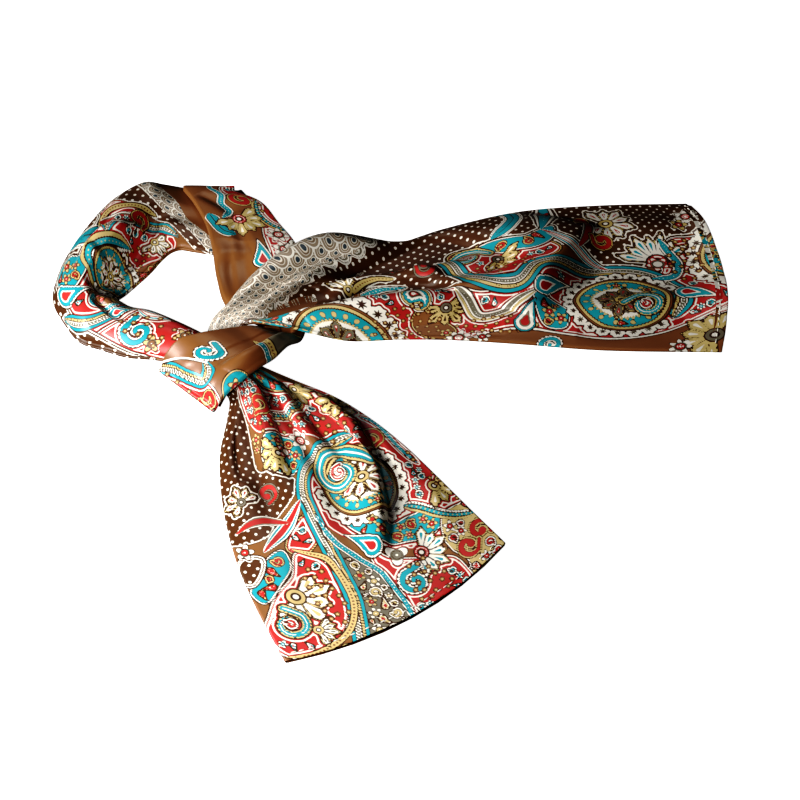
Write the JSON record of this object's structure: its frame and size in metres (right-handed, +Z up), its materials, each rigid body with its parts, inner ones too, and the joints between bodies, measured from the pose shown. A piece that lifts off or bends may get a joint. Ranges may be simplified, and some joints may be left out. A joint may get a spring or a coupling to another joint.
{
  "type": "silk cravat",
  "caption": "Long printed silk cravat, a flat tube tied in one loose knot, laid out with a neck ring and two fanned tails.",
  "frame": {"origin": "middle of the bounding box, on the table that the cravat lies on", "axes": "+Z up from the table, -Y towards the viewer of the picture, +X along the right tail to its hem"},
  "size_m": [0.4675, 0.429, 0.026],
  "materials": {
    "printed_silk": "satin silk, printed"
  },
  "bodies": {
    "root": {"right_tail": "printed_silk", "lower_tail": "printed_silk", "knot_under": "printed_silk", "knot_wrap": "printed_silk", "ring_right": "printed_silk", "ring_top": "printed_silk", "ring_left": "printed_silk", "ring_bottom": "printed_silk"}
  },
  "joints": []
}
